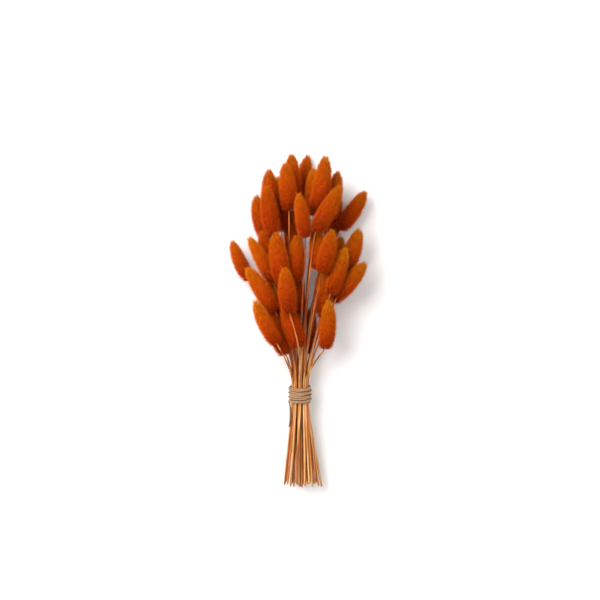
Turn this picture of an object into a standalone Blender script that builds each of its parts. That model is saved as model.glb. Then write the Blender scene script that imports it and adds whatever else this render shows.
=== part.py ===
# A bunch of dried bunny tail grass, dyed orange and bound with jute twine, lying on a surface.
# +Y runs from the tie to the heads, +X is to the right when the heads point up, +Z is up.
# Every stem is one smooth stalk through the tie, and every head is one soft body on its stem.

import math
import random

import bpy
import numpy as np

MM = 0.001

# The tie: its axis is the line that all stems gather round, at x = 0 and y = 0
TIE_HEIGHT = 23 * MM
TIE_HALF_LENGTH = 11.5 * MM
TIE_BORE_RADIUS = 11 * MM
TWINE_TURNS = 9
TWINE_CREST_RADIUS = 13.3 * MM
TWINE_VALLEY_RADIUS = 12.4 * MM
TWINE_STRAND_RADIUS = 1.15 * MM
TIE_SIDES = 16

# Stems, from the cut end through the tie to the neck under the head
STEM_RADIUS = 1.35 * MM
NECK_RADIUS = 0.8 * MM
NECK_GAP = 0.3 * MM
STEM_SIDES = 5
STEMS_PER_RING = (1, 6, 12, 20)
RING_PITCH = 3.05 * MM
PAIR_SPACING = 2.05 * MM
STRAIGHT_HALF_LENGTH = 13 * MM
CUT_END_Y = -109.5 * MM
CUT_END_CENTRE_X = 4.5 * MM
CUT_END_CENTRE_Z = 18.5 * MM
CUT_SPREAD_X = 19 * MM
CUT_SPREAD_Z = 17 * MM
CUT_UNEVEN = 4.5 * MM
CUT_TWIST = math.radians(28)
CUT_STRAY_X = 3.0 * MM
CUT_STRAY_Z = 2.0 * MM
STEM_FLARE = 1.5
STRAY_SLOT = 0.96
STRAY_SHIFT = -4 * MM
LOWER_POINTS = 4
UPPER_POINTS = 10

# Heads: the relief stands out of each head as tufts that lean to its tip
TUFT_COLUMNS = 8
TUFT_ROWS = 7
TUFT_CREST = 1.09
TUFT_VALLEY = 0.88
TUFT_LEAN = 0.35
TIP_TUFT_LEAN = 0.1
TUFT_UNEVEN = 0.03
FIRST_ROW = 0.6
ROW_SPAN = TUFT_ROWS + 0.2
TILT_SHARE = 0.8
TILT_UP_LIMIT = 12 * MM
TILT_DOWN_LIMIT = 3 * MM
PRESSED_DEPTH = 1.6 * MM
REST_BAND = 1 * MM

# Settling of the bunch: pieces are pushed apart until they clear each other by the gap
CLEAR_GAP = 0.45 * MM
SETTLE_STEPS = 700
FREE_STEPS = 250
HEAD_SIDEWAYS = 0.3
HEAD_SHARE = 0.25
HEAD_PULL = np.array((0.06, 0.06, 0.01))
STEM_SMOOTHING = 0.2
FREE_SMOOTHING = 0.02
NEIGHBOUR_REACH = 5 * MM
NEIGHBOUR_STEPS = 20
TINY = 1e-15
TWINE_GROUP = -100

random.seed(37)

# Each head in millimetres from the tie: name, base x and y, tip x and y, width,
# height of its middle over the surface, and how far its middle bows to the right
HEADS = (
    ("top_01", -13, 222, -18, 274, 18.5, 54, 1.0),
    ("top_02", -6, 230, -10, 287, 18.5, 40, -1.0),
    ("top_03", 3, 231, 9, 288, 16.5, 7, -1.0),
    ("top_04", 20, 223, 30, 283, 19.5, 58, 1.5),
    ("top_05", 16, 216, 17, 270, 17.5, 36, -0.5),
    ("top_06", 35, 212, 45, 266, 16.5, 40, 1.0),
    ("top_07", 18, 196, 46, 246, 18.5, 72, 0.5),
    ("top_08", 48, 200, 78, 244, 17.5, 18, 1.0),
    ("top_09", 7, 188, -1, 237, 14.5, 70, 0.0),
    ("top_10", -34, 212, -37, 268, 18.5, 44, -1.0),
    ("top_11", -32, 192, -39, 246, 18.5, 62, -1.0),
    ("top_12", -41, 188, -53, 239, 17, 8, -2.0),
    ("top_13", -22, 197, -27, 262, 19, 8, 0.0),
    ("top_14", 36, 188, 46, 238, 17.5, 7, 0.0),
    ("middle_01", -60.5, 138, -81, 183, 14, 26, -2.0),
    ("middle_02", -32, 136, -59, 186, 15, 56, 1.0),
    ("middle_03", -32, 142, -46, 194, 17.5, 36, 0.5),
    ("middle_04", -20, 134, -28, 192, 21, 60, -1.0),
    ("middle_05", -7, 137, -4, 188, 18.5, 54, 0.5),
    ("middle_06", 22, 150, 21, 200, 16.5, 54, -1.0),
    ("middle_07", 27, 146, 38, 194, 18.5, 62, 0.5),
    ("middle_08", 50, 142, 71, 197, 20.5, 40, 1.5),
    ("middle_09", 43, 118, 76, 157, 17.5, 50, 1.0),
    ("middle_10", 38, 113, 72, 152, 17.5, 7, 1.5),
    ("middle_11", 36, 122, 53, 173, 17.5, 50, 0.0),
    ("middle_12", 40, 138, 50, 188, 17.5, 8, 0.0),
    ("low_01", -31, 100, -62, 149, 19, 40, 1.0),
    ("low_02", -27, 62, -52, 111, 16.5, 54, -1.0),
    ("low_03", -15, 49, -35, 101, 18.5, 42, -1.0),
    ("low_04", -2, 57, -19, 109, 21.5, 48, -0.5),
    ("low_05", -13, 99, -18, 149, 18.5, 58, 0.0),
    ("low_06", 29, 92, 31, 151, 19, 45, -0.5),
    ("low_07", 30, 55, 34, 110, 17.5, 50, 1.5),
    ("low_08", 6, 48, 14, 100, 17.5, 10, 0.0),
    ("low_09", -20, 78, -36, 132, 18.5, 38, 0.0),
    ("low_10", -3, 97, -8, 150, 17, 31, 0.0),
    ("under_01", -10, 76, -24, 128, 17.5, 7, 0.0),
    ("under_02", -10, 168, -10, 222, 18.5, 7, 0.0),
    ("under_03", -27, 108, -31, 161, 17.5, 9, 0.0),
)

HEAD_STATIONS = np.array((0.05, 0.2, 0.4, 0.6, 0.8, 0.95))

# The free tail of the twine, in millimetres from the tie's middle
TWINE_TAIL = ((-13.0, -10, 2.0), (-12.2, -14, 3.5), (-11.8, -22, 5.0), (-12.0, -31, 4.5), (-13.0, -40, 3.0))
CROSSING_START = math.radians(-25)
CROSSING_END = math.radians(175)
CROSSING_STEPS = 14
CROSSING_RISE = 8 * MM


# Shape of one head along its length, 0 at the base and 1 at the tip
def head_radius(width, t):
    rise, fall = 0.35, 0.45
    widest = rise / (rise + fall)
    full = widest ** rise * (1 - widest) ** fall
    return width / 2 * t ** rise * (1 - t) ** fall / full


# Point on a head's axis: a straight line from base to tip, bowed to one side
def head_axis(base, tip, bow, t):
    along = tip - base
    side = np.cross(along / np.linalg.norm(along), (0, 0, 1))
    return base + along * t + side * bow * 4 * t * (1 - t)


class Head:
    def __init__(self, name, base_x, base_y, tip_x, tip_y, width, height, bow):
        self.name = "head_" + name
        self.width = width * MM
        self.bow = bow * MM
        middle_y = (base_y + tip_y) / 2 * MM
        length = math.hypot(tip_x - base_x, tip_y - base_y) * MM
        slope = (height * MM - TIE_HEIGHT) / middle_y
        tilt = min(max(slope * length * TILT_SHARE, -TILT_DOWN_LIMIT), TILT_UP_LIMIT)
        self.base = np.array((base_x * MM, base_y * MM, height * MM - tilt / 2))
        self.tip = np.array((tip_x * MM, tip_y * MM, height * MM + tilt / 2))

    def station_points(self):
        return np.array([head_axis(self.base, self.tip, self.bow, t) for t in HEAD_STATIONS])

    def station_radii(self):
        return np.array([head_radius(self.width, t) * TUFT_CREST for t in HEAD_STATIONS])

    def move(self, step):
        self.base = self.base + step
        self.tip = self.tip + step


# Slots in the tie: one in the middle and three rings, taken in pairs that touch
def tie_slots():
    slots = [(0.0, 0.0, 0.0)]
    for ring, count in enumerate(STEMS_PER_RING[1:], start=1):
        radius = ring * RING_PITCH
        half_angle = math.asin(PAIR_SPACING / 2 / radius)
        for pair in range(count // 2):
            middle = 2 * math.pi * (pair + 0.5) / (count / 2)
            for angle in (middle - half_angle, middle + half_angle):
                slots.append((radius * math.cos(angle), radius * math.sin(angle), angle))
    return slots


# Heads whose stems leave the tie straightest take the inner slots, and each ring
# is filled in order round the axis, so that no two stems have to cross
def give_slots(heads):
    slots = tie_slots()
    slopes = [(h.base[0] / h.base[1], (h.base[2] - TIE_HEIGHT) / h.base[1]) for h in heads]
    order = sorted(range(len(heads)), key=lambda i: math.hypot(*slopes[i]))
    slot_of = {}
    first = 0
    for count in STEMS_PER_RING:
        ring = slots[first:first + count]
        members = sorted(order[first:first + count], key=lambda i: math.atan2(slopes[i][1], slopes[i][0]))
        best = None
        for turn in range(count):
            shifted = members[turn:] + members[:turn]
            miss = sum(
                1 - math.cos(math.atan2(slopes[i][1], slopes[i][0]) - slot[2])
                for i, slot in zip(shifted, ring)
            )
            if best is None or miss < best[0]:
                best = (miss, shifted)
        for place, i in enumerate(best[1]):
            slot_of[i] = first + place
        first += count
    return slots, slot_of


# A stem keeps its width up to the tie and thins from there to its neck
def stem_radii():
    return np.concatenate((
        np.full(LOWER_POINTS, STEM_RADIUS),
        np.linspace(STEM_RADIUS, NECK_RADIUS, UPPER_POINTS),
    ))


# First route of a stem: fanned cut end, straight through the tie, then a curve that leaves
# the tie with the others and flares out to the neck of its head
def first_route(slot, head):
    x, z = slot[0], slot[1]
    outer = RING_PITCH * (len(STEMS_PER_RING) - 1)
    stray = STRAY_SHIFT if x < -STRAY_SLOT * outer and z > 0 else 0
    turned_x = (x * math.cos(CUT_TWIST) - z * math.sin(CUT_TWIST)) / outer
    turned_z = (x * math.sin(CUT_TWIST) + z * math.cos(CUT_TWIST)) / outer
    cut = np.array((
        CUT_END_CENTRE_X + turned_x * CUT_SPREAD_X + stray + random.uniform(-1, 1) * CUT_STRAY_X,
        CUT_END_Y + random.uniform(-1, 1) * CUT_UNEVEN,
        CUT_END_CENTRE_Z + turned_z * CUT_SPREAD_Z + random.uniform(-1, 1) * CUT_STRAY_Z,
    ))
    below = np.array((x, -STRAIGHT_HALF_LENGTH, TIE_HEIGHT + z))
    above = np.array((x, STRAIGHT_HALF_LENGTH, TIE_HEIGHT + z))
    lower = [cut + (below - cut) * k / (LOWER_POINTS - 1) for k in range(LOWER_POINTS)]
    upper = []
    for part in np.linspace(0, 1, UPPER_POINTS):
        flared = part ** STEM_FLARE
        upper.append(above + (head.base - above) * (flared, part, flared))
    return np.array(lower + upper)


# Twine crossing the turns over the front of the tie, then hanging free as the tail
def twine_route():
    route = []
    for step in range(CROSSING_STEPS + 1):
        part = step / CROSSING_STEPS
        angle = CROSSING_START + (CROSSING_END - CROSSING_START) * part
        route.append((
            TWINE_CREST_RADIUS * math.cos(angle),
            CROSSING_RISE * math.cos(math.pi * part),
            TIE_HEIGHT + TWINE_CREST_RADIUS * math.sin(angle),
        ))
    for x, y, z in TWINE_TAIL:
        route.append((x * MM, y * MM, TIE_HEIGHT + z * MM))
    return np.array(route)


# Nearest places on two rows of segments, as shares along each
def nearest_shares(start_a, end_a, start_b, end_b):
    run_a = end_a - start_a
    run_b = end_b - start_b
    offset = start_a - start_b
    aa = np.sum(run_a * run_a, axis=1) + TINY
    bb = np.sum(run_b * run_b, axis=1) + TINY
    ab = np.sum(run_a * run_b, axis=1)
    a_offset = np.sum(run_a * offset, axis=1)
    b_offset = np.sum(run_b * offset, axis=1)
    spread = np.maximum(aa * bb - ab * ab, TINY * TINY)
    share_a = np.clip((ab * b_offset - a_offset * bb) / spread, 0, 1)
    share_b = np.clip((ab * share_a + b_offset) / bb, 0, 1)
    share_a = np.clip((ab * share_b - a_offset) / aa, 0, 1)
    return share_a, share_b


# How far each inner point of each stem lies from the middle of its neighbours
def stem_bend(stems):
    return (stems[:, :-2] + stems[:, 2:]) / 2 - stems[:, 1:-1]


# Everything in the bunch as one set of points and the segments between them
class Bunch:
    def __init__(self, heads, routes, slot_of, tail):
        self.heads = heads
        self.stem_size = routes.shape[1]
        self.stations = len(HEAD_STATIONS)
        points, radii, share, start = [], [], [], []
        owner, mate = [], []
        for i, route in enumerate(routes):
            start += [len(points) + k for k in range(self.stem_size - 1)]
            points += list(route)
            radii += list(stem_radii())
            held = [1.0] * self.stem_size
            held[LOWER_POINTS - 1] = 0.0
            held[LOWER_POINTS] = 0.0
            held[-1] = 0.0
            share += held
            owner += [i] * self.stem_size
            mate += [(slot_of[i] + 1) // 2] * self.stem_size
        self.head_start = len(points)
        for i, head in enumerate(heads):
            start += [len(points) + k for k in range(self.stations - 1)]
            points += list(head.station_points())
            radii += list(head.station_radii())
            share += [HEAD_SHARE] * self.stations
            owner += [i] * self.stations
            mate += [-1 - i] * self.stations
        start += [len(points) + k for k in range(len(tail) - 1)]
        points += list(tail)
        radii += [TWINE_STRAND_RADIUS] * len(tail)
        share += [0.0] * len(tail)
        owner += [-1] * len(tail)
        mate += [TWINE_GROUP] * len(tail)
        self.points = np.array(points)
        self.radii = np.array(radii)
        self.share = np.array(share)
        self.owner = np.array(owner)
        self.mate = np.array(mate)
        self.start = np.array(start)
        self.home = np.array([head.base for head in heads])
        self.curve = stem_bend(routes)

    # Pairs of segments that are close enough to matter, of different stems and heads
    def neighbours(self):
        first = self.points[self.start]
        last = self.points[self.start + 1]
        middle = (first + last) / 2
        reach = np.linalg.norm(last - first, axis=1) / 2
        reach = reach + np.maximum(self.radii[self.start], self.radii[self.start + 1])
        a, b = np.triu_indices(len(self.start), 1)
        mates = self.mate[self.start[a]] == self.mate[self.start[b]]
        own = self.owner[self.start[a]] == self.owner[self.start[b]]
        keep = ~mates & ~own
        a, b = a[keep], b[keep]
        apart = np.linalg.norm(middle[a] - middle[b], axis=1)
        near = apart < reach[a] + reach[b] + NEIGHBOUR_REACH
        return self.start[a[near]], self.start[b[near]]

    # How deep each near pair overlaps the gap, and which way to push it
    def overlaps(self, a, b):
        share_a, share_b = nearest_shares(
            self.points[a], self.points[a + 1], self.points[b], self.points[b + 1])
        spot_a = self.points[a] + (self.points[a + 1] - self.points[a]) * share_a[:, None]
        spot_b = self.points[b] + (self.points[b + 1] - self.points[b]) * share_b[:, None]
        radius_a = self.radii[a] + (self.radii[a + 1] - self.radii[a]) * share_a
        radius_b = self.radii[b] + (self.radii[b + 1] - self.radii[b]) * share_b
        way = spot_a - spot_b
        apart = np.linalg.norm(way, axis=1)
        depth = radius_a + radius_b + CLEAR_GAP - apart
        return share_a, share_b, way / np.maximum(apart, TINY)[:, None], depth

    def push_apart(self, a, b):
        share_a, share_b, way, depth = self.overlaps(a, b)
        hit = depth > 0
        a, b, share_a, share_b, way, depth = a[hit], b[hit], share_a[hit], share_b[hit], way[hit], depth[hit]
        ease_a = self.share[a] * (1 - share_a) + self.share[a + 1] * share_a
        ease_b = self.share[b] * (1 - share_b) + self.share[b + 1] * share_b
        total = np.maximum(ease_a + ease_b, TINY)
        step_a = way * (depth * ease_a / total)[:, None]
        step_b = -way * (depth * ease_b / total)[:, None]
        moved = np.zeros_like(self.points)
        weight = np.zeros(len(self.points))
        for first, part, step in ((a, share_a, step_a), (b, share_b, step_b)):
            for node, portion in ((first, 1 - part), (first + 1, part)):
                np.add.at(moved, node, step * portion[:, None])
                np.add.at(weight, node, portion)
        return moved, weight

    def head_slice(self, i):
        first = self.head_start + i * self.stations
        return slice(first, first + self.stations)

    def settle(self):
        stem_end = self.head_start
        for step in range(SETTLE_STEPS):
            if step % NEIGHBOUR_STEPS == 0:
                a, b = self.neighbours()
            free = step >= SETTLE_STEPS - FREE_STEPS
            moved, weight = self.push_apart(a, b)
            stems = self.points[:stem_end].reshape(len(self.heads), self.stem_size, 3)
            steps = moved[:stem_end] / np.maximum(weight[:stem_end], 0.5)[:, None]
            steps = steps * (self.share[:stem_end] > 0)[:, None]
            stems += steps.reshape(stems.shape)
            smooth = FREE_SMOOTHING if free else STEM_SMOOTHING
            bend = stem_bend(stems) - self.curve
            bend[:, LOWER_POINTS - 2:LOWER_POINTS] = 0
            stems[:, 1:-1] += bend * smooth
            for i, head in enumerate(self.heads):
                part = self.head_slice(i)
                total = max(weight[part].sum(), 0.5)
                step_head = moved[part].sum(axis=0) / total
                step_head[:2] *= HEAD_SIDEWAYS
                if not free:
                    step_head += (self.home[i] - head.base) * HEAD_PULL
                head.move(step_head)
                spots = head.station_points()
                low = (head.station_radii() - PRESSED_DEPTH - spots[:, 2]).max()
                if low > 0:
                    head.move(np.array((0, 0, low)))
                self.points[part] = head.station_points()
                stems[i, -1] = head.base
            floor = self.radii[:stem_end].reshape(stems.shape[:2])
            stems[:, :, 2] = np.maximum(stems[:, :, 2], floor)
            self.points[:stem_end] = stems.reshape(-1, 3)
        a, b = self.neighbours()
        depth = self.overlaps(a, b)[3]
        print("closest approach in mm:", round(float((CLEAR_GAP - depth.max()) / MM), 3))
        return self.points[:stem_end].reshape(len(self.heads), self.stem_size, 3)


def make_object(name, points, faces, material):
    mesh = bpy.data.meshes.new(name)
    mesh.from_pydata([tuple(p) for p in points], [], faces)
    mesh.validate()
    mesh.materials.append(material)
    thing = bpy.data.objects.new(name, mesh)
    bpy.context.scene.collection.objects.link(thing)
    return thing


def make_material(name, colour, roughness):
    material = bpy.data.materials.new(name)
    material.use_nodes = True
    shader = material.node_tree.nodes["Principled BSDF"]
    shader.inputs["Base Color"].default_value = (*colour, 1)
    shader.inputs["Roughness"].default_value = roughness
    shader.inputs["Metallic"].default_value = 0
    return material


# Side and up directions across a line that runs roughly along Y
def across(direction):
    direction = direction / np.linalg.norm(direction)
    side = np.cross((0, 0, 1), direction)
    side = side / np.linalg.norm(side)
    return side, np.cross(direction, side)


# Closed tube with flat ends round a row of points, its sides carried along without a twist
def tube(name, route, radii, up, material):
    points, faces = [], []
    last = len(route) - 1
    for k, centre in enumerate(route):
        along = route[min(k + 1, last)] - route[max(k - 1, 0)]
        along = along / np.linalg.norm(along)
        up = up - along * np.dot(up, along)
        up = up / np.linalg.norm(up)
        side = np.cross(up, along)
        for s in range(STEM_SIDES):
            angle = 2 * math.pi * s / STEM_SIDES
            points.append(centre + radii[k] * (side * math.cos(angle) + up * math.sin(angle)))
    for k in range(last):
        here, there = k * STEM_SIDES, (k + 1) * STEM_SIDES
        for s in range(STEM_SIDES):
            t = (s + 1) % STEM_SIDES
            faces.append((here + s, here + t, there + t, there + s))
    faces.append(tuple(reversed(range(STEM_SIDES))))
    faces.append(tuple(last * STEM_SIDES + s for s in range(STEM_SIDES)))
    return make_object(name, points, faces, material)


# One head: rings of low points set half a step round from each other, and a tuft raised
# in each diamond between them. Points that come within the rest band lie flat on the surface.
def make_head(head, material):
    twist = random.uniform(0, 2 * math.pi)
    points = [head.base.copy()]

    def ring_point(row, column, scale):
        t = (row + FIRST_ROW) / ROW_SPAN
        centre = head_axis(head.base, head.tip, head.bow, t)
        ahead = head_axis(head.base, head.tip, head.bow, min(t + 0.01, 1))
        behind = head_axis(head.base, head.tip, head.bow, max(t - 0.01, 0))
        side, up = across(ahead - behind)
        angle = twist + 2 * math.pi * column / TUFT_COLUMNS
        radius = head_radius(head.width, t) * scale * (1 + random.uniform(-1, 1) * TUFT_UNEVEN)
        return centre + radius * (side * math.cos(angle) + up * math.sin(angle))

    for row in range(TUFT_ROWS):
        for column in range(TUFT_COLUMNS):
            points.append(ring_point(row, column + row % 2 / 2, TUFT_VALLEY))
    tip_point = len(points)
    points.append(head.tip.copy())

    def low_point(row, column):
        if row < 0:
            return 0
        if row >= TUFT_ROWS:
            return tip_point
        return 1 + row * TUFT_COLUMNS + column % TUFT_COLUMNS

    faces = []
    for row in range(TUFT_ROWS):
        for column in range(TUFT_COLUMNS):
            right = low_point(row, column + 1)
            left = low_point(row, column)
            beside = column + row % 2
            below = low_point(row - 1, beside)
            above = low_point(row + 1, beside)
            peak = len(points)
            lean = TUFT_LEAN if row < TUFT_ROWS - 1 else TIP_TUFT_LEAN
            points.append(ring_point(row + lean, column + row % 2 / 2 + 0.5, TUFT_CREST))
            faces += [(below, right, peak), (right, above, peak), (above, left, peak), (left, below, peak)]
    for point in points:
        if point[2] < REST_BAND:
            point[2] = 0
    return make_object(head.name, points, faces, material)


# Joins one object with others by a union and removes the others
def fuse(thing, others):
    group = bpy.data.collections.new(thing.name + "_parts")
    bpy.context.scene.collection.children.link(group)
    for other in others:
        bpy.context.scene.collection.objects.unlink(other)
        group.objects.link(other)
    union = thing.modifiers.new("union", "BOOLEAN")
    union.operation = "UNION"
    union.operand_type = "COLLECTION"
    union.collection = group
    bpy.context.view_layer.update()
    shaped = thing.evaluated_get(bpy.context.evaluated_depsgraph_get())
    mesh = bpy.data.meshes.new_from_object(shaped)
    thing.modifiers.remove(union)
    thing.data = mesh
    for other in others:
        bpy.data.objects.remove(other)
    bpy.data.collections.remove(group)


# Wound band of the tie: a turned ring with one round ridge for each turn
def make_tie(route, material):
    pitch = 2 * TIE_HALF_LENGTH / TWINE_TURNS
    ridge_start, ridge_end = 0.25 * pitch, 0.75 * pitch
    outline = [(-TIE_HALF_LENGTH, TIE_BORE_RADIUS)]
    for turn in range(TWINE_TURNS):
        start = -TIE_HALF_LENGTH + turn * pitch
        outline.append((start, TWINE_VALLEY_RADIUS))
        outline.append((start + ridge_start, TWINE_CREST_RADIUS))
        outline.append((start + ridge_end, TWINE_CREST_RADIUS))
    outline.append((TIE_HALF_LENGTH, TWINE_VALLEY_RADIUS))
    outline.append((TIE_HALF_LENGTH, TIE_BORE_RADIUS))
    points, faces = [], []
    for side in range(TIE_SIDES):
        angle = 2 * math.pi * side / TIE_SIDES
        for y, radius in outline:
            points.append((radius * math.cos(angle), y, TIE_HEIGHT + radius * math.sin(angle)))
    count = len(outline)
    for side in range(TIE_SIDES):
        here, there = side * count, (side + 1) % TIE_SIDES * count
        for k in range(count):
            n = (k + 1) % count
            faces.append((here + k, here + n, there + n, there + k))
    band = make_object("twine_tie", points, faces, material)
    radii = [TWINE_STRAND_RADIUS] * len(route)
    crossing = tube("twine_crossing", route, radii, np.array((0.0, 1.0, 0.0)), material)
    fuse(band, [crossing])


def make_stems(routes, heads, slot_of, material):
    radii = stem_radii()
    in_slot = {slot: i for i, slot in slot_of.items()}
    pair_count = (len(heads) + 1) // 2
    for pair in range(pair_count):
        slots = [0] if pair == 0 else [2 * pair - 1, 2 * pair]
        stems = []
        for slot in slots:
            i = in_slot[slot]
            route = routes[i].copy()
            last_run = route[-1] - route[-2]
            route[-1] = heads[i].base - last_run / np.linalg.norm(last_run) * NECK_GAP
            stems.append(tube("stems_%02d" % (pair + 1), route, radii, np.array((0.0, 0.0, 1.0)), material))
        if len(stems) > 1:
            fuse(stems[0], stems[1:])


# Moves the whole bunch so that the middle of its box is over the origin
def centre_bunch():
    corners = []
    for thing in bpy.context.scene.objects:
        corners += [tuple(v.co) for v in thing.data.vertices]
    corners = np.array(corners)
    middle = (corners.min(axis=0) + corners.max(axis=0)) / 2
    for thing in bpy.context.scene.objects:
        for vertex in thing.data.vertices:
            vertex.co.x -= middle[0]
            vertex.co.y -= middle[1]


def main():
    for thing in list(bpy.data.objects):
        bpy.data.objects.remove(thing)
    head_colour = make_material("dyed_bristle", (0.55, 0.11, 0.01), 0.9)
    stem_colour = make_material("dry_stalk", (0.62, 0.32, 0.12), 0.7)
    twine_colour = make_material("jute_twine", (0.47, 0.31, 0.17), 0.95)
    heads = [Head(*row) for row in HEADS]
    slots, slot_of = give_slots(heads)
    routes = np.array([first_route(slots[slot_of[i]], head) for i, head in enumerate(heads)])
    twine = twine_route()
    tail = twine[CROSSING_STEPS:]
    bunch = Bunch(heads, routes, slot_of, tail)
    routes = bunch.settle()
    for head in heads:
        make_head(head, head_colour)
    make_stems(routes, heads, slot_of, stem_colour)
    make_tie(twine, twine_colour)
    centre_bunch()


main()
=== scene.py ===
import math
import random

import bpy
import numpy as np
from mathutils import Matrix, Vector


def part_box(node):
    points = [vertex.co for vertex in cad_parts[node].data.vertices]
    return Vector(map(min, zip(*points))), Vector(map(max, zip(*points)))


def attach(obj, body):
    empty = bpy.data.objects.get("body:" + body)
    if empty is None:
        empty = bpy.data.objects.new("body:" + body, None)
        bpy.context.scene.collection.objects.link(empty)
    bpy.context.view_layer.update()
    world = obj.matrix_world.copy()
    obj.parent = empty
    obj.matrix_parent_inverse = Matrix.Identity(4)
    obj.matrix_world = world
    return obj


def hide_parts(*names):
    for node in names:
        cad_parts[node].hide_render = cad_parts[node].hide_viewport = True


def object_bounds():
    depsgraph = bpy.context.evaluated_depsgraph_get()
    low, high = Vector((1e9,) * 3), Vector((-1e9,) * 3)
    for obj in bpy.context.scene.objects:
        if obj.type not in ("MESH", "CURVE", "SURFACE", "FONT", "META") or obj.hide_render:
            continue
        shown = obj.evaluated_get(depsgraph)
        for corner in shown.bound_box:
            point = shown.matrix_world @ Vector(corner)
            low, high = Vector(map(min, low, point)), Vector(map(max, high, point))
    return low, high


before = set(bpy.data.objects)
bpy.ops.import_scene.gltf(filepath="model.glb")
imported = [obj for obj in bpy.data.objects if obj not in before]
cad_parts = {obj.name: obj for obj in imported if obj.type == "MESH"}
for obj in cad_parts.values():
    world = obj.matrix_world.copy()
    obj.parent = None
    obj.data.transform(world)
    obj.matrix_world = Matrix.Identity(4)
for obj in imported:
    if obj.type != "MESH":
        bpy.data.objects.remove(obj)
bpy.ops.object.select_all(action="DESELECT")
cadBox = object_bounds()

# A bunch of dried bunny tail grass, dyed orange, tied with jute twine and laid on its side.
# Heads point along +Y, the surface is z = 0, and the photo looks straight down on it.
mm = 0.001
random.seed(5)
dice = np.random.default_rng(21)
tieLow, tieHigh = (np.array(corner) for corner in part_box("twine_tie"))


def pointsOf(thing):
    flat = np.empty(len(thing.data.vertices) * 3)
    thing.data.vertices.foreach_get("co", flat)
    return flat.reshape(-1, 3)


tiePoints = pointsOf(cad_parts["twine_tie"])
topRing = tiePoints[tiePoints[:, 1] > tieHigh[1] - 0.01 * mm]
boreLow, boreHigh = topRing.min(axis=0), topRing.max(axis=0)
tieX, tieHeight = 0.5 * (boreLow[0] + boreHigh[0]), 0.5 * (boreLow[2] + boreHigh[2])
tieY = tieHigh[1] - 11.5 * mm


# Colours and node helper

def linear(hexText):  # an sRGB hex colour as linear red, green, blue and alpha
    parts = [int(hexText[k:k + 2], 16) / 255 for k in (1, 3, 5)]
    return [c / 12.92 if c <= 0.04045 else ((c + 0.055) / 1.055) ** 2.4 for c in parts] + [1]


def addNode(tree, kind, place, settings=None, links=None):
    node = tree.nodes.new(kind)
    node.location = place
    for name, value in (settings or {}).items():
        if isinstance(name, int) or name in node.inputs:
            node.inputs[name].default_value = value
        else:
            setattr(node, name, value)
    for name, source in (links or {}).items():
        tree.links.new(source, node.inputs[name])
    return node


def newMaterial(name):
    material = bpy.data.materials.new(name)
    material.use_nodes = True
    tree = material.node_tree
    tree.nodes.clear()
    output = addNode(tree, "ShaderNodeOutputMaterial", (900, 0))
    return material, tree, output


def setRamp(node, stops):  # stops are (position, hex colour)
    ramp = node.color_ramp
    while len(ramp.elements) < len(stops):
        ramp.elements.new(0.5)
    for element, (position, hexText) in zip(ramp.elements, stops):
        element.position = position
        element.color = linear(hexText)


# Materials

bristleLook = {
    # from a head's base to its tip: the dye's colour, with painted shade darkening the lower half
    "alongHead": ((0.0, "#bd3800"), (0.4, "#d05000"), (0.8, "#dc6c02"), (1.0, "#e2840c")),
    # painted shade: each bristle darkens toward its root, deep in the fluff
    "paintedRootShade": "#b03c00",
    # painted glow: bristle tips paler, for light shining through them
    "paintedTipGlow": "#f0961e",
    "paintedTipGlowShare": 0.35,
    "patchSize": 9.0,   # mm between places where the dye took more or less
    "patchShift": 0.3,  # how far those places move the colour along the head's ramp
    "toneSpread": 0.5,  # how far single bristles differ in brightness
    "roughness": 0.82,
}


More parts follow.
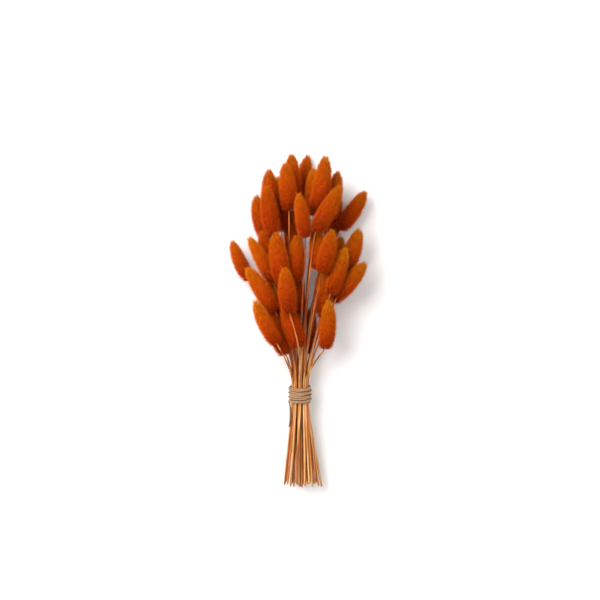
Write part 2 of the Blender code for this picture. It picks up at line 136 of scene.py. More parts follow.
def makeBristleMaterial():
    # Dyed cellulose bristle: matt, a little silky where many lie side by side, with painted shade at the root
    # and a painted glow at the tip
    look = bristleLook
    material, tree, output = newMaterial("dyed grass bristle")
    data = addNode(tree, "ShaderNodeAttribute", (-1100, 0), {"attribute_name": "bristle"})
    parts = addNode(tree, "ShaderNodeSeparateColor", (-900, 0), links={"Color": data.outputs["Color"]})
    place = addNode(tree, "ShaderNodeTexCoord", (-1100, -300))
    patch = addNode(tree, "ShaderNodeTexNoise", (-900, -300),
                    {"Scale": 1 / (look["patchSize"] * mm), "Detail": 2.0},
                    {"Vector": place.outputs["Object"]})
    shift = addNode(tree, "ShaderNodeMath", (-700, -200),
                    {"operation": "MULTIPLY_ADD", 1: look["patchShift"], 2: -look["patchShift"] / 2},
                    {0: patch.outputs["Fac"]})
    along = addNode(tree, "ShaderNodeMath", (-520, -50), {"operation": "ADD"},
                    {0: parts.outputs["Red"], 1: shift.outputs[0]})
    dye = addNode(tree, "ShaderNodeValToRGB", (-340, 50), links={"Fac": along.outputs[0]})
    setRamp(dye, look["alongHead"])
    single = addNode(tree, "ShaderNodeHueSaturation", (-60, 50), {"Saturation": 1.0},
                     {"Color": dye.outputs["Color"]})
    bright = addNode(tree, "ShaderNodeMath", (-340, -200),
                     {"operation": "MULTIPLY_ADD", 1: look["toneSpread"], 2: 1 - look["toneSpread"] / 2},
                     {0: parts.outputs["Blue"]})
    tree.links.new(bright.outputs[0], single.inputs["Value"])
    # painted shade toward each bristle's root
    rootFade = addNode(tree, "ShaderNodeMapRange", (-340, -400), {"From Min": 0.0, "From Max": 0.35},
                       {"Value": parts.outputs["Green"]})
    rooted = addNode(tree, "ShaderNodeMixRGB", (160, 50), {"Color1": linear(look["paintedRootShade"])},
                     {"Fac": rootFade.outputs["Result"], "Color2": single.outputs["Color"]})
    # painted glow toward each bristle's tip
    tipFade = addNode(tree, "ShaderNodeMapRange", (-60, -300),
                      {"From Min": 0.6, "From Max": 1.0, "To Max": look["paintedTipGlowShare"]},
                      {"Value": parts.outputs["Green"]})
    tipped = addNode(tree, "ShaderNodeMixRGB", (360, 50), {"Color2": linear(look["paintedTipGlow"])},
                     {"Fac": tipFade.outputs["Result"], "Color1": rooted.outputs["Color"]})
    shader = addNode(tree, "ShaderNodeBsdfPrincipled", (600, 0), {
        "Roughness": look["roughness"], "IOR": 1.53, "Specular IOR Level": 0.08,
        "Sheen Weight": 0.08, "Sheen Roughness": 0.5, "Sheen Tint": linear("#ff8a20"),
    }, {"Base Color": tipped.outputs["Color"]})
    tree.links.new(shader.outputs[0], output.inputs[0])
    return material


stalkLook = {
    "straw": ((0.0, "#6b3a12"), (0.3, "#a9692c"), (0.62, "#c68a46"), (1.0, "#e8b87c")),
    "fibreWidth": 0.35,  # mm between fibres, about twice the real spacing so that they show
    "fibreLength": 18.0,
    "toneWidth": 1.6,    # mm across before the tone changes, so that neighbours differ
    "toneLength": 90,
    # the random tone is laid so that the stalks come out paler on the left and darker on the right: painted
    # light from the left and painted shade on the right
    "tonePlace": (-6.2, 0.0, 8.4),  # puts the pale stalks where the photo has them
    "toneShare": 0.62,   # of the tone against the fibres
    "spread": (0.35, 0.62),
    "dye": "#f09448",    # tint of the orange dye that ran down the stalks
    "dyeWidth": 4.2,     # mm across the places that it reached
    "dyeLength": 70,
    "dyePlace": (7.3, 2.1, 4.4),
    "dyeShare": (0.6, 0.85),   # at most, anywhere on a stalk and close to the heads
    "dyeReach": (20, 100),     # mm over the tie between which the dye grows to its strongest
    "stainAndShadeTint": "#c86420",   # tint where a stalk lies against a head: painted shade, with the dye that rubbed off on it
    "stainAndShadeReach": (1.5, 5.0),  # mm off the head where this tint starts to fade, and where it ends
    "roughness": 0.5,
}


def grainScale(width, length):  # of a noise that is so many mm wide across the grain, and so long
    return 1 / (width * mm), 1 / (length * mm), 1 / (width * mm)


def makeStalkMaterial():
    # Dry grass stalk: straw with some orange dye on it, fine fibres along it and a waxy skin
    look = stalkLook
    material, tree, output = newMaterial("dry grass stalk")
    place = addNode(tree, "ShaderNodeAttribute", (-1200, 0), {"attribute_name": "grain"})
    thin = addNode(tree, "ShaderNodeMapping", (-1000, 100),
                   {"Scale": grainScale(look["fibreWidth"], look["fibreLength"])},
                   {"Vector": place.outputs["Vector"]})
    fibre = addNode(tree, "ShaderNodeTexNoise", (-800, 100), {"Scale": 1.0, "Detail": 3.0},
                    {"Vector": thin.outputs[0]})
    wide = addNode(tree, "ShaderNodeMapping", (-1000, -250), {
        "Scale": grainScale(look["toneWidth"], look["toneLength"]), "Location": look["tonePlace"],
    }, {"Vector": place.outputs["Vector"]})
    tone = addNode(tree, "ShaderNodeTexNoise", (-800, -250), {"Scale": 1.0, "Detail": 1.0},
                   {"Vector": wide.outputs[0]})
    mixed = addNode(tree, "ShaderNodeMixRGB", (-560, 0), {"Fac": look["toneShare"]},
                    {"Color1": fibre.outputs["Fac"], "Color2": tone.outputs["Fac"]})
    spread = addNode(tree, "ShaderNodeMapRange", (-380, 0),
                     {"From Min": look["spread"][0], "From Max": look["spread"][1]},
                     {"Value": mixed.outputs["Color"]})
    straw = addNode(tree, "ShaderNodeValToRGB", (-200, 0), links={"Fac": spread.outputs["Result"]})
    setRamp(straw, look["straw"])
    patch = addNode(tree, "ShaderNodeMapping", (-1000, -550), {
        "Scale": grainScale(look["dyeWidth"], look["dyeLength"]), "Location": look["dyePlace"],
    }, {"Vector": place.outputs["Vector"]})
    dyeNoise = addNode(tree, "ShaderNodeTexNoise", (-800, -550), {"Scale": 1.0, "Detail": 2.0},
                       {"Vector": patch.outputs[0]})
    dyed = addNode(tree, "ShaderNodeMapRange", (-560, -550),
                   {"From Min": 0.42, "From Max": 0.68, "To Max": look["dyeShare"][0]},
                   {"Value": dyeNoise.outputs["Fac"]})
    parts = addNode(tree, "ShaderNodeSeparateXYZ", (-800, -800), links={"Vector": place.outputs["Vector"]})
    near = addNode(tree, "ShaderNodeMapRange", (-560, -800), {
        "From Min": tieY + look["dyeReach"][0] * mm, "From Max": tieY + look["dyeReach"][1] * mm,
        "To Max": look["dyeShare"][1],
    }, {"Value": parts.outputs["Y"]})
    most = addNode(tree, "ShaderNodeMath", (-300, -600), {"operation": "MAXIMUM"},
                   {0: dyed.outputs["Result"], 1: near.outputs["Result"]})
    colour = addNode(tree, "ShaderNodeMixRGB", (160, 0),
                     {"blend_type": "MULTIPLY", "Color2": linear(look["dye"])},
                     {"Fac": most.outputs[0], "Color1": straw.outputs["Color"]})
    # painted shade, with the dye stain, where a stalk lies against a head
    stainAndShade = addNode(tree, "ShaderNodeAttribute", (-60, 300), {"attribute_name": "stainAndShade"})
    stainedAndShaded = addNode(tree, "ShaderNodeMixRGB", (340, 150),
                      {"blend_type": "MULTIPLY", "Color2": linear(look["stainAndShadeTint"])},
                      {"Fac": stainAndShade.outputs["Fac"], "Color1": colour.outputs["Color"]})
    bump = addNode(tree, "ShaderNodeBump", (200, -250), {"Strength": 0.5, "Distance": 0.12 * mm},
                   {"Height": fibre.outputs["Fac"]})
    shader = addNode(tree, "ShaderNodeBsdfPrincipled", (560, 0), {
        "Roughness": look["roughness"], "IOR": 1.5, "Specular IOR Level": 0.3,
    }, {"Base Color": stainedAndShaded.outputs["Color"], "Normal": bump.outputs["Normal"]})
    tree.links.new(shader.outputs[0], output.inputs[0])
    return material


juteLook = {
    "fibre": ((0.25, "#845832"), (0.5, "#b68a5e"), (0.75, "#d8b48c")),
    "paintedValleyShade": "#6b4024",  # painted shade between the turns and the plies
    "fibreWidth": 0.45,   # mm, a bundle of jute fibres, coarser than one fibre so that it shows
    "roughness": 0.9,
}


def makeJuteMaterial():
    # Natural jute: coarse dull tan fibre, lighter where stray fibres catch the light
    look = juteLook
    material, tree, output = newMaterial("natural jute twine")
    place = addNode(tree, "ShaderNodeTexCoord", (-900, 0))
    fibre = addNode(tree, "ShaderNodeTexNoise", (-700, 0),
                    {"Scale": 1 / (look["fibreWidth"] * mm), "Detail": 3.0},
                    {"Vector": place.outputs["Object"]})
    colour = addNode(tree, "ShaderNodeValToRGB", (-300, 0), links={"Fac": fibre.outputs["Fac"]})
    setRamp(colour, look["fibre"])
    crest = addNode(tree, "ShaderNodeAttribute", (-700, 300), {"attribute_name": "crest"})
    # painted shade in the valleys, where the crest mask is low
    shown = addNode(tree, "ShaderNodeMixRGB", (-20, 100), {"Color1": linear(look["paintedValleyShade"])},
                    {"Fac": crest.outputs["Fac"], "Color2": colour.outputs["Color"]})
    bump = addNode(tree, "ShaderNodeBump", (0, -250), {"Strength": 0.6, "Distance": 0.15 * mm},
                   {"Height": fibre.outputs["Fac"]})
    shader = addNode(tree, "ShaderNodeBsdfPrincipled", (300, 0), {
        "Roughness": look["roughness"], "Sheen Weight": 0.15, "Sheen Roughness": 0.6,
    }, {"Base Color": shown.outputs["Color"], "Normal": bump.outputs["Normal"]})
    tree.links.new(shader.outputs[0], output.inputs[0])
    return material


bristleMaterial = makeBristleMaterial()
stalkMaterial = makeStalkMaterial()
juteMaterial = makeJuteMaterial()
print("materials made")


# Mesh helpers

def unit(rows):
    return rows / np.linalg.norm(rows, axis=-1, keepdims=True)


def newMesh(name, points, faces, material, shades=None):
    mesh = bpy.data.meshes.new(name)
    mesh.vertices.add(len(points))
    mesh.vertices.foreach_set("co", np.asarray(points, dtype=np.float32).ravel())
    sizes = np.array([len(f) for f in faces], dtype=np.int32)
    mesh.loops.add(int(sizes.sum()))
    mesh.loops.foreach_set("vertex_index", np.concatenate([np.asarray(f) for f in faces]).astype(np.int32))
    mesh.polygons.add(len(faces))
    mesh.polygons.foreach_set("loop_start", (np.cumsum(sizes) - sizes).astype(np.int32))
    mesh.update(calc_edges=True)
    mesh.materials.append(material)
    if shades is not None:
        layer = mesh.color_attributes.new("bristle", "FLOAT_COLOR", "POINT")
        colours = np.ones((len(points), 4), dtype=np.float32)
        colours[:, :3] = shades
        layer.data.foreach_set("color", colours.ravel())
    piece = bpy.data.objects.new(name, mesh)
    bpy.context.scene.collection.objects.link(piece)
    return piece


# Heads

headShape = {
    "coreShare": 0.88,      # core radius against the head's own
    "spikelets": 400,
    "bristles": 13,         # in each spikelet
    "rootShare": 0.82,      # where spikelets grow from, against the head's radius
    "length": 6.8,          # mm
    "lengthSpread": (0.72, 1.08),
    "width": 0.34,          # mm across a bristle at its root, thicker than real so that it shows
    "widthSpread": (0.75, 1.25),
    "lean": (48, 24),       # degrees out of the surface, at the head's base and at its tip
    "fan": 0.20,            # how far a spikelet's bristles spread
    "alongScatter": (0.008, 0.022),  # of spikelets and of single bristles, against the head's length
    "turnScatter": (0.1, 0.17),      # the same round the head, in radians
    "toneScatter": (0.07, 0.10),
    "sizeScatter": 0.07,
    "awns": 60,             # the few long bristles that stand clear of the rest
    "awnLength": 9.0,
    "awnWidth": 0.2,
    "awnLean": (16, 40),
    "awnTone": 0.85,
    "floorGap": 0.15,       # mm over the surface for what lies on it
    "dyeSpread": (-0.22, 0.08),  # how far one head's colour lies down or up the colour ramp
    "paintedShadeHeads": ("head_top_11", "head_middle_03", "head_low_03", "head_low_04"),  # painted shade: these heads are set far down the colour ramp, darker where they lie in shadow
    "paintedShadeShift": -0.4,
    "proud": 0.028,         # how far bristles may stand out of the CAD box, against its sides
}


def profile(t):  # an egg drawn out to the tip, 1 at its widest
    rise, fall = 0.35, 0.45
    widest = rise / (rise + fall)
    return t ** rise * (1 - t) ** fall / (widest ** rise * (1 - widest) ** fall)


def readHead(node):  # a head's axis, bow and width from its CAD solid
    points = pointsOf(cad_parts[node])
    middle = points.mean(axis=0)
    way = np.linalg.svd(points - middle, full_matrices=False)[2][0]
    if np.dot(way, middle - 0.5 * (tieLow + tieHigh)) < 0:
        way = -way
    along = (points - middle) @ way
    base, tip = points[along.argmin()], points[along.argmax()]
    length = np.linalg.norm(tip - base)
    way = (tip - base) / length
    share = (points - base) @ way / length
    offset = points - base - np.outer(share * length, way)
    belt = (share > 0.3) & (share < 0.7)
    bow = offset[belt].mean(axis=0) / 0.95  # over the belt a bow's mean is 0.95 of its middle
    apart = np.linalg.norm(offset - np.outer(4 * share * (1 - share), bow), axis=1)
    width = 2 * np.percentile(apart[belt], 90) / 1.09  # without the tufts
    side = np.cross(way, (0, 0, 1))
    side /= np.linalg.norm(side)
    return {"base": base, "tip": tip, "bow": bow, "width": width, "length": length,
            "side": side, "up": np.cross(side, way), "way": way}


def onHead(head, t, turn, radius):  # places round a head's axis
    t = t[:, None]
    axis = head["base"] + (head["tip"] - head["base"]) * t + head["bow"] * 4 * t * (1 - t)
    out = np.cos(turn)[:, None] * head["side"] + np.sin(turn)[:, None] * head["up"]
    return axis + out * radius[:, None], out


def makeCore():  # a sphere whose rings are spread over the head's length
    bpy.ops.mesh.primitive_uv_sphere_add(segments=14, ring_count=14, radius=1)
    core = bpy.context.object
    points = pointsOf(core)
    faces = [list(p.vertices) for p in core.data.polygons]
    bpy.data.objects.remove(core)
    return points, faces


def makeBristle():  # one bristle: a closed three-sided spike, 1 long and 1 wide at its root
    bpy.ops.mesh.primitive_cone_add(vertices=3, radius1=0.5, radius2=0, depth=1, location=(0, 0, 0.5))
    spike = bpy.context.object
    points = pointsOf(spike) + (0, 0, 0.5)
    faces = [list(p.vertices) for p in spike.data.polygons]
    bpy.data.objects.remove(spike)
    return points, faces


corePoints, coreFaces = makeCore()
spikePoints, spikeFaces = makeBristle()


def spreadOver(count):  # an even spiral over the head, denser nowhere
    steps = np.linspace(0, 1, 400)
    weight = np.cumsum(profile(np.clip(steps, 0.01, 0.99)))
    t = np.interp((np.arange(count) + 0.5) / count * weight[-1], weight, steps)
    turn = np.arange(count) * math.pi * (3 - math.sqrt(5))
    return t, turn


def spikes(root, end, width):  # copies of the one bristle, from each root to each end
    way = end - root
    length = np.linalg.norm(way, axis=1)
    way = unit(way)
    side = unit(np.cross(way, dice.normal(size=way.shape)))
    over = np.cross(way, side)
    x, y, z = spikePoints.T
    points = (root[:, None] + side[:, None] * (x * width[:, None])[:, :, None]
              + over[:, None] * (y * width[:, None])[:, :, None]
              + way[:, None] * (z * length[:, None])[:, :, None])
    faces = np.array(spikeFaces)[None] + (np.arange(len(root)) * len(spikePoints))[:, None, None]
    return points.reshape(-1, 3), faces.reshape(-1, 3)


def directions(head, t, out):  # forward along the surface, and straight out of it
    step = 0.01
    rise = (profile(np.clip(t + step, 0.02, 0.98)) - profile(np.clip(t - step, 0.02, 0.98))) / (2 * step)
    slope = np.clip(rise * head["width"] / 2 / head["length"], -1.6, 1.6)
    forward = unit(head["way"] + out * slope[:, None])
    outward = unit(out - head["way"] * slope[:, None])
    return forward, outward


def keepInside(root, end):  # shortens the bristles that reach too far out of the CAD box
    low, high = np.array(cadBox[0]), np.array(cadBox[1])
    spare = (high - low) * headShape["proud"]
    reach = end - root
    share = np.ones(len(root))
    for axis in range(3):
        for limit, way in ((low[axis] - spare[axis], -1), (high[axis] + spare[axis], 1)):
            over = (end[:, axis] - limit) * way > 0
            share[over] = np.minimum(share[over], (limit - root[over, axis]) / reach[over, axis])
    share = np.where(share < 1, share * dice.uniform(0.85, 1.0, size=len(root)), 1)
    return root + reach * share[:, None]


def shadesOf(t, tone):  # place along the head, place along the bristle, and the bristle's own tone
    each = len(spikePoints)
    return np.column_stack((np.repeat(t, each), np.tile(spikePoints[:, 2], len(t)), np.repeat(tone, each)))


def growSpikelets(head):  # each one is a small brush of bristles
    shape = headShape
    each = shape["bristles"]
    count = shape["spikelets"] * each
    t, turn = spreadOver(shape["spikelets"])
    t = np.clip(t + dice.normal(scale=shape["alongScatter"][0], size=len(t)), 0.0, 1.0)
    turn = turn + random.uniform(0, 2 * math.pi) + dice.normal(scale=shape["turnScatter"][0], size=len(t))
    tone = np.clip(dice.normal(0.5, shape["toneScatter"][0], size=len(t)), 0, 1)
    size = 1 + dice.normal(scale=shape["sizeScatter"], size=len(t))
    t = np.clip(np.repeat(t, each) + dice.normal(scale=shape["alongScatter"][1], size=count), 0.004, 0.996)
    turn = np.repeat(turn, each) + dice.normal(scale=shape["turnScatter"][1], size=count)
    root, out = onHead(head, t, turn, profile(t) * head["width"] / 2 * shape["rootShare"])
    forward, outward = directions(head, t, out)
    lean = np.radians(shape["lean"][0] + (shape["lean"][1] - shape["lean"][0]) * t)
    way = unit(forward * np.cos(lean)[:, None] + outward * np.sin(lean)[:, None]
               + dice.normal(scale=shape["fan"], size=(count, 3)))
    length = shape["length"] * mm * np.repeat(size, each) * dice.uniform(*shape["lengthSpread"], size=count)
    end = keepInside(root, root + way * length[:, None])
    points, faces = spikes(root, end, shape["width"] * mm * dice.uniform(*shape["widthSpread"], size=count))
    tone = np.clip(np.repeat(tone, each) + dice.normal(scale=shape["toneScatter"][1], size=count), 0, 1)
    return points, faces, t, tone


def growAwns(head):
    shape = headShape
    count = shape["awns"]
    t = dice.uniform(0.04, 0.98, size=count)
    turn = dice.uniform(0, 2 * math.pi, size=count)
    root, out = onHead(head, t, turn, profile(t) * head["width"] / 2 * 0.85)
    forward, outward = directions(head, t, out)
    lean = np.radians(dice.uniform(*shape["awnLean"], size=count))
    length = shape["awnLength"] * mm * dice.uniform(0.7, 1.0, size=count) * (1 - 0.3 * t)
    way = forward * np.cos(lean)[:, None] + outward * np.sin(lean)[:, None]
    end = keepInside(root, root + way * length[:, None])
    points, faces = spikes(root, end, np.full(count, shape["awnWidth"] * mm))
    return points, faces, t, np.full(count, shape["awnTone"])


def makeHead(node):
    shape = headShape
    head = readHead(node)
    t = np.clip((corePoints[:, 2] + 1) / 2, 0.0, 1.0)
    turn = np.arctan2(corePoints[:, 1], corePoints[:, 0])
    core, _ = onHead(head, 0.03 + 0.94 * t, turn, profile(t) * head["width"] / 2 * shape["coreShare"])
    # the dye varies at random from head to head; the listed heads are lowered down the ramp instead, as
    # painted shade
    dyeAndShadeShift = shape["paintedShadeShift"] if node in shape["paintedShadeHeads"] else random.uniform(*shape["dyeSpread"])
    allPoints = [core]
    allFaces = [np.array(f) for f in coreFaces]
    # the core takes most of the painted root shade and a lower tone: painted shade inside the fluff
    allShades = [np.column_stack((np.clip(t + dyeAndShadeShift, 0, 1), np.full(len(t), 0.1), np.full(len(t), 0.4)))]
    for points, faces, t, tone in (growSpikelets(head), growAwns(head)):
        allFaces += list(faces + sum(len(p) for p in allPoints))
        allPoints.append(points)
        allShades.append(shadesOf(np.clip(t + dyeAndShadeShift, 0, 1), tone))
    points = np.concatenate(allPoints)
    points[:, 2] = np.maximum(points[:, 2], shape["floorGap"] * mm)  # what meets the surface lies on it
    piece = newMesh("bristles_" + node[5:], points, allFaces, bristleMaterial, np.concatenate(allShades))
    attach(piece, "root")
    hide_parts(node)
    return len(allFaces)


headNodes = sorted(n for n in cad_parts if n.startswith("head_"))
faceCount = sum(makeHead(node) for node in headNodes)
print("heads made:", len(headNodes), "with", faceCount, "faces")


# Stalks

stalkShape = {
    "fatten": 0.25,   # mm given back after smoothing draws the five sides in
    "wall": 0.42,     # mm of stalk wall round the hollow at the cut end
    "hollow": 3.0,    # mm that the hollow reaches in
    "intoHead": 5.0,  # mm that a stalk goes on inside its head
    "tipReach": 2.2,  # mm from a head's base that take in the tip of its stalk and nothing else
    "straight": 13,   # mm under the tie's middle where the stalks begin to fan out
    "fan": (1.08, 0.86),        # how much wider and higher the bunch is at its cut end
    "fanShift": (4.5, -4.5),    # mm that its cut end lies to the right and down
    "twist": 28,                # degrees that its cut end is turned against the tie
    "flareLength": 30,          # mm over the tie in which the stalks spread to twice their width
}


def copyOf(node, name):  # a free copy of a CAD node, without the frame's marks
    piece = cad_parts[node].copy()
    piece.data = piece.data.copy()
    piece.name = name
    piece.parent = None
    for key in [k for k in piece.keys() if k.startswith("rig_")]:
        del piece[key]
    bpy.context.scene.collection.objects.link(piece)
    piece.hide_render = False
    piece.hide_viewport = False
    bpy.ops.object.select_all(action="DESELECT")
    piece.select_set(True)
    bpy.context.view_layer.objects.active = piece
    return piece


def hollowEnds(piece):  # sinks a hole into each cut end
    cutEdge = cutEnd + 8 * mm
    for face in piece.data.polygons:
        face.select = face.normal.y < -0.95 and face.center.y < cutEdge
    bpy.ops.object.mode_set(mode="EDIT")
    bpy.ops.mesh.dissolve_faces()
    bpy.ops.mesh.inset(thickness=stalkShape["wall"] * mm, depth=0, use_individual=True)
    bpy.ops.mesh.extrude_region_move(TRANSFORM_OT_translate={"value": (0, stalkShape["hollow"] * mm, 0)})
    bpy.ops.mesh.select_all(action="SELECT")
    bpy.ops.mesh.normals_make_consistent(inside=False)
    bpy.ops.object.mode_set(mode="OBJECT")


def makeStalks(node):  # smooth round stalks from the five-sided ones, hollow where they are cut
    piece = copyOf(node, "stalks_" + node[-2:])
    bpy.ops.object.mode_set(mode="EDIT")
    bpy.ops.mesh.select_all(action="SELECT")
    bpy.ops.mesh.remove_doubles(threshold=0.01 * mm)
    bpy.ops.mesh.tris_convert_to_quads()
    bpy.ops.mesh.select_all(action="DESELECT")
    bpy.ops.object.mode_set(mode="OBJECT")
    hollowEnds(piece)
    smooth = piece.modifiers.new("smooth", "SUBSURF")
    smooth.levels = 1
    smooth.render_levels = 1
    bpy.ops.object.modifier_apply(modifier="smooth")
    bpy.ops.object.mode_set(mode="EDIT")
    bpy.ops.mesh.select_all(action="SELECT")
    bpy.ops.transform.shrink_fatten(value=stalkShape["fatten"] * mm)
    bpy.ops.object.mode_set(mode="OBJECT")
    bpy.ops.object.shade_smooth()
    piece.data.materials.clear()
    piece.data.materials.append(stalkMaterial)
    reachIn(piece)
    layGrain(piece)
    layStainAndShade(piece)
    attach(piece, "root")
    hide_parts(node)


def reachIn(piece):  # draws the stalks' ends on into their heads, where the bristles hide them
    points = pointsOf(piece)
    for head in map(readHead, headNodes):
        near = np.linalg.norm(points - head["base"], axis=1) < stalkShape["tipReach"] * mm
        points[near] += head["way"] * stalkShape["intoHead"] * mm
    piece.data.vertices.foreach_set("co", points.ravel())
    piece.data.update()


def layGrain(piece):  # places with both fans of stalks closed up, so that the grain follows each stalk
    shape = stalkShape
    points = pointsOf(piece)
    fanStart = tieY - shape["straight"] * mm
    under = np.clip((fanStart - points[:, 1]) / (fanStart - cutEnd), 0, 1)
    turn = math.radians(shape["twist"])
    wide, high = 1 + shape["fan"][0], 1 + shape["fan"][1]
    a = 1 - under + under * wide * math.cos(turn)
    b = -under * wide * math.sin(turn)
    c = under * high * math.sin(turn)
    d = 1 - under + under * high * math.cos(turn)
    x = points[:, 0] - tieX - under * shape["fanShift"][0] * mm
    z = points[:, 2] - tieHeight - under * shape["fanShift"][1] * mm
    over = np.maximum(points[:, 1] - tieY - shape["straight"] * mm, 0)
    size = (a * d - b * c) * (1 + over / (shape["flareLength"] * mm))
    grain = points.copy()
    grain[:, 0] = (d * x - b * z) / size
    grain[:, 2] = (a * z - c * x) / size
    layer = piece.data.attributes.new("grain", "FLOAT_VECTOR", "POINT")
    layer.data.foreach_set("vector", grain.astype(np.float32).ravel())


def layStainAndShade(piece):  # 1 where a stalk lies against the side of a head, and 0 where it is clear of all: the mask of the painted shade and dye stain
    nearest, farthest = stalkLook["stainAndShadeReach"]
    points = pointsOf(piece)
    stainAndShade = np.zeros(len(points))
    for head in map(readHead, headNodes):
        t = (points - head["base"]) @ head["way"] / head["length"]
        inside = np.clip(t, 0.01, 0.99)[:, None]
        axis = head["base"] + (head["tip"] - head["base"]) * inside + head["bow"] * 4 * inside * (1 - inside)
        clear = np.linalg.norm(points - axis, axis=1) - profile(inside[:, 0]) * head["width"] / 2
        closeness = np.clip((farthest - clear / mm) / (farthest - nearest), 0, 1) * np.clip(t * 8, 0, 1)
        stainAndShade = np.maximum(stainAndShade, closeness)
    layer = piece.data.attributes.new("stainAndShade", "FLOAT", "POINT")
    layer.data.foreach_set("value", stainAndShade.astype(np.float32))


stalkNodes = sorted(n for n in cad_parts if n.startswith("stems_"))
cutEnd = min(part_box(n)[0][1] for n in stalkNodes)
for node in stalkNodes:
    makeStalks(node)
print("stalks made:", len(stalkNodes))


# Twine

twineShape = {
    "turns": 9,           # of the first layer, up the tie
    "backTurns": 3.555,   # of the second, looser one, down again over the first
    "reach": 10.2,        # mm from the middle of the tie to the middle of its end turns
    "backReach": 8.0,
    "radius": 12.0,       # mm from the tie's axis to the middle of the twine
    "backRadius": 13.4,
    "start": -25,         # degrees round the tie, from the right
    "stepsPerTurn": 24,
    "wobble": 0.2,        # mm in and out along the first layer
    "sag": (1.2, 3.3),    # mm that turns of the first layer hang over the front of the tie
    "slackLift": 0.25,    # how far a turn lies over the rest, for each mm that it sags
    "backSag": 4.2,
    "plies": 3,
    "plyRadius": 0.60,
    "plyOffset": 0.52,
    "twistLength": 6.0,
    "step": 0.8,
    "tail": ((-13.0, -10, 2.0), (-12.2, -14, 3.5), (-11.8, -22, 5.0), (-12.0, -31, 4.5), (-13.0, -39.5, 3.0)),
    "strays": 520,        # fibres that stand off it
    "strayLength": (0.8, 2.4),
    "strayWidth": 0.14,
}


def smoothPath(points, step):  # evenly stepped places on a curve through the given points
    points = np.array(points)
    fine = []
    for k in range(len(points) - 1):
        before = points[max(k - 1, 0)]
        after = points[min(k + 2, len(points) - 1)]
        a, b = points[k], points[k + 1]
        for u in np.linspace(0, 1, 12, endpoint=False):
            fine.append(0.5 * (2 * a + (b - before) * u + (2 * before - 5 * a + 4 * b - after) * u ** 2
                               + (3 * a - before - 3 * b + after) * u ** 3))
    fine.append(points[-1])
    fine = np.array(fine)
    run = np.concatenate(((0,), np.cumsum(np.linalg.norm(np.diff(fine, axis=0), axis=1))))
    places = np.linspace(0, run[-1], int(run[-1] / step) + 1)
    return np.column_stack([np.interp(places, run, fine[:, k]) for k in range(3)]), run[-1]


def twinePath():
    shape = twineShape
    centre = np.array((tieX, tieY, tieHeight))
    start = math.radians(shape["start"])
    perTurn = shape["stepsPerTurn"]
    route = []
    sags = dice.uniform(*shape["sag"], size=shape["turns"] + 1)
    for k in range(shape["turns"] * perTurn):
        share = k / (shape["turns"] * perTurn)
        turn = start + 2 * math.pi * k / perTurn
        sag = sags[k // perTurn] * max(math.sin(turn), 0)
        radius = shape["radius"] + shape["wobble"] * math.sin(share * 17) + shape["slackLift"] * sag
        y = -shape["reach"] + 2 * shape["reach"] * share - sag * min(1, 4 * share)
        route.append((radius * math.cos(turn), y, radius * math.sin(turn)))
    backSteps = int(shape["backTurns"] * perTurn)
    for k in range(backSteps + 1):
        share = k / backSteps
        turn = start + 2 * math.pi * shape["backTurns"] * share
        radius = shape["radius"] + (shape["backRadius"] - shape["radius"]) * min(1, share * 6)
        y = shape["reach"] + (-shape["backReach"] - shape["reach"]) * share
        sag = shape["backSag"] * max(math.sin(turn), 0) ** 1.2 * min(1, 3 * (1 - share) + 0.3)
        route.append((radius * math.cos(turn), y - sag, radius * math.sin(turn)))
    route += list(shape["tail"])
    path, length = smoothPath(np.array(route) * mm, shape["step"] * mm)
    return path + centre, length


def markCrests(piece):  # 1 where the twine faces out of the tie, 0 where it faces its neighbours and takes the painted shade
    points = pointsOf(piece)
    normals = np.empty(points.size)
    piece.data.vertices.foreach_get("normal", normals)
    outward = points - (tieX, 0, tieHeight)
    outward[:, 1] = 0
    facing = (normals.reshape(-1, 3) * unit(outward)).sum(axis=1)
    layer = piece.data.attributes.new("crest", "FLOAT", "POINT")
    layer.data.foreach_set("value", np.clip((facing - 0.3) / 0.6, 0, 1).astype(np.float32))


def makePlies(path):  # three strands laid round each other along the path
    shape = twineShape
    count = len(path)
    along = unit(np.gradient(path, axis=0))
    up = np.zeros_like(path)
    carried = np.array((0.0, 1.0, 0.0))
    for k in range(count):  # carried along the twine without turning round it
        carried = carried - along[k] * np.dot(carried, along[k])
        carried = carried / np.linalg.norm(carried)
        up[k] = carried
    side = np.cross(up, along)
    travel = np.arange(count) * shape["step"]
    curve = bpy.data.curves.new("jute_twine", "CURVE")
    curve.dimensions = "3D"
    curve.bevel_depth = shape["plyRadius"] * mm
    curve.bevel_resolution = 1
    curve.use_fill_caps = True
    for ply in range(shape["plies"]):
        turn = 2 * math.pi * (travel / shape["twistLength"] + ply / shape["plies"])
        middle = path + (side * np.cos(turn)[:, None] + up * np.sin(turn)[:, None]) * shape["plyOffset"] * mm
        spline = curve.splines.new("POLY")
        spline.points.add(count - 1)
        spline.points.foreach_set("co", np.column_stack((middle, np.ones(count))).ravel())
        # no ply is evenly thick
        spline.points.foreach_set("radius", 1 + 0.1 * np.sin(travel * 0.9 + ply * 2.1)
                                  + dice.normal(scale=0.05, size=count))
    piece = bpy.data.objects.new("jute_twine", curve)
    bpy.context.scene.collection.objects.link(piece)
    bpy.ops.object.select_all(action="DESELECT")
    piece.select_set(True)
    bpy.context.view_layer.objects.active = piece
    bpy.ops.object.convert(target="MESH")
    piece = bpy.context.object
    bpy.ops.object.shade_smooth()
    markCrests(piece)
    piece.data.materials.clear()
    piece.data.materials.append(juteMaterial)
    return piece


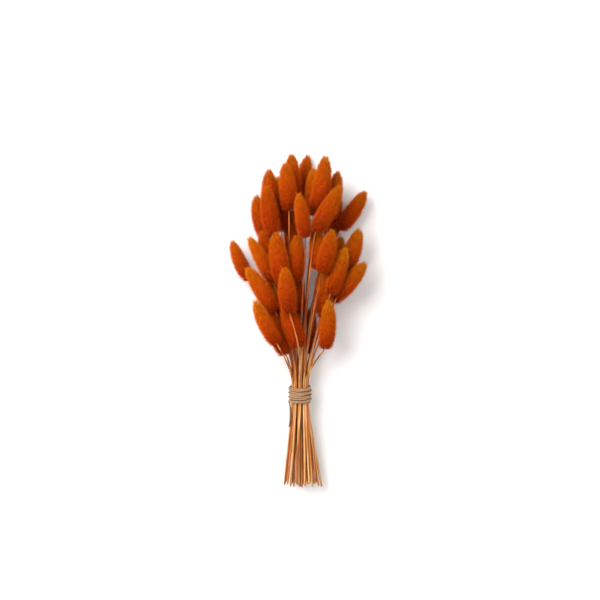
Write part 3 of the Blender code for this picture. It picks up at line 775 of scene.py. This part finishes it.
def makeStrays(path):  # loose fibres all along the twine
    shape = twineShape
    count = shape["strays"]
    at = dice.integers(2, len(path) - 2, size=count)
    outward = path[at] - np.column_stack((np.full(count, tieX), path[at][:, 1], np.full(count, tieHeight)))
    way = unit(unit(outward) * 0.5 + dice.normal(scale=0.6, size=(count, 3)))
    root = path[at] + way * 0.9 * mm
    end = root + way * (dice.uniform(*shape["strayLength"], size=count) * mm)[:, None]
    points, faces = spikes(root, end, np.full(count, shape["strayWidth"] * mm))
    hairs = newMesh("jute_fibres", points, list(faces), juteMaterial)
    layer = hairs.data.attributes.new("crest", "FLOAT", "POINT")
    layer.data.foreach_set("value", np.ones(len(points), dtype=np.float32))
    return hairs


def makeTwine():
    path, length = twinePath()
    piece = makePlies(path)
    makeStrays(path).select_set(True)
    bpy.ops.object.join()
    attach(piece, "root")
    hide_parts("twine_tie")
    print("twine made, mm long:", round(length / mm))


makeTwine()


# Floor, light and camera

stageLook = {"floorSize": 6.0, "floorColour": "#f4f3f1", "skyStrength": 0.68}
bpy.ops.mesh.primitive_plane_add(size=stageLook["floorSize"], location=(0, 0, 0))
floor = bpy.context.object
floor.name = "floor"
floorMaterial, floorTree, floorOutput = newMaterial("matt white paper")
paper = addNode(floorTree, "ShaderNodeBsdfPrincipled", (300, 0), {
    "Base Color": linear(stageLook["floorColour"]), "Roughness": 0.9, "Specular IOR Level": 0.1})
floorTree.links.new(paper.outputs[0], floorOutput.inputs[0])
floor.data.materials.append(floorMaterial)

world = bpy.data.worlds.new("soft studio")
world.use_nodes = True
world.node_tree.nodes["Background"].inputs["Color"].default_value = linear("#ffffff")
world.node_tree.nodes["Background"].inputs["Strength"].default_value = stageLook["skyStrength"]
bpy.context.scene.world = world

lamps = (
    {"name": "key softbox", "place": (-0.9, 0.7, 1.5), "size": 1.3, "power": 39},
    {"name": "fill softbox", "place": (1.2, -0.2, 1.3), "size": 1.2, "power": 6},
)
for lamp in lamps:
    bpy.ops.object.light_add(type="AREA", location=lamp["place"])
    light = bpy.context.object
    light.name = lamp["name"]
    light.data.size = lamp["size"]
    light.data.energy = lamp["power"]
    aim = -np.array(lamp["place"])
    tilt = math.atan2(math.hypot(aim[0], aim[1]), -aim[2])
    light.rotation_euler = (tilt, 0, math.atan2(aim[0], -aim[1]) + math.pi)

cameraLook = {
    "lens": 100,
    "frameWidth": 720,  # mm of the object's plane that the photo's 600 pixels take in
    "planeHeight": 50,  # mm over the surface, the middle of the bunch
    "middleFromTie": (0, 114.4),  # mm from the tie to the middle of the photo
}
bpy.ops.object.camera_add()
camera = bpy.context.object
camera.data.lens = cameraLook["lens"]
camera.data.sensor_width = 36
distance = cameraLook["frameWidth"] * mm * cameraLook["lens"] / 36
camera.location = (tieX + cameraLook["middleFromTie"][0] * mm, tieY + cameraLook["middleFromTie"][1] * mm,
                   distance + cameraLook["planeHeight"] * mm)
camera.rotation_euler = (0, 0, 0)
camera.data.clip_end = 20
bpy.context.scene.camera = camera
bpy.context.scene.view_settings.view_transform = "Standard"
